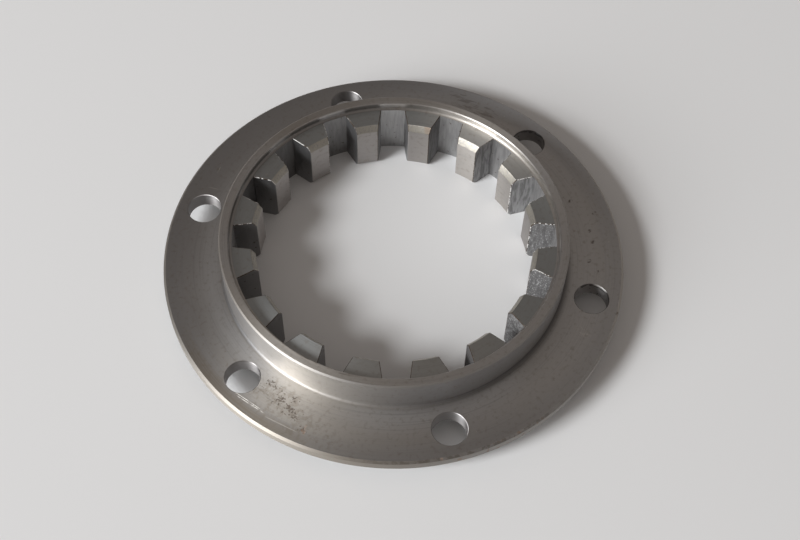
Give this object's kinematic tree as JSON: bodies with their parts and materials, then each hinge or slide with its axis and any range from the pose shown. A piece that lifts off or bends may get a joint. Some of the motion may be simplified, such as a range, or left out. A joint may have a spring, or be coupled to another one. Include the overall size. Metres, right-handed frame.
{
  "type": "splined hub",
  "caption": "Flat turned steel hub: a bolting flange with a raised collar and internal spline teeth, which carries a wheel, drum or plate on a splined shaft.",
  "frame": {"origin": "on the axis of the ring, at the bottom face of the pilot ring that it stands on", "axes": "+Z along the axis of the ring, from the pilot ring towards the collar; +X through a bolt hole"},
  "size_m": [0.12, 0.12, 0.0177],
  "materials": {
    "turned_steel": "turned satin steel with fine lathe marks and light rust"
  },
  "bodies": {
    "root": {"splined_hub": "turned_steel"}
  },
  "joints": []
}
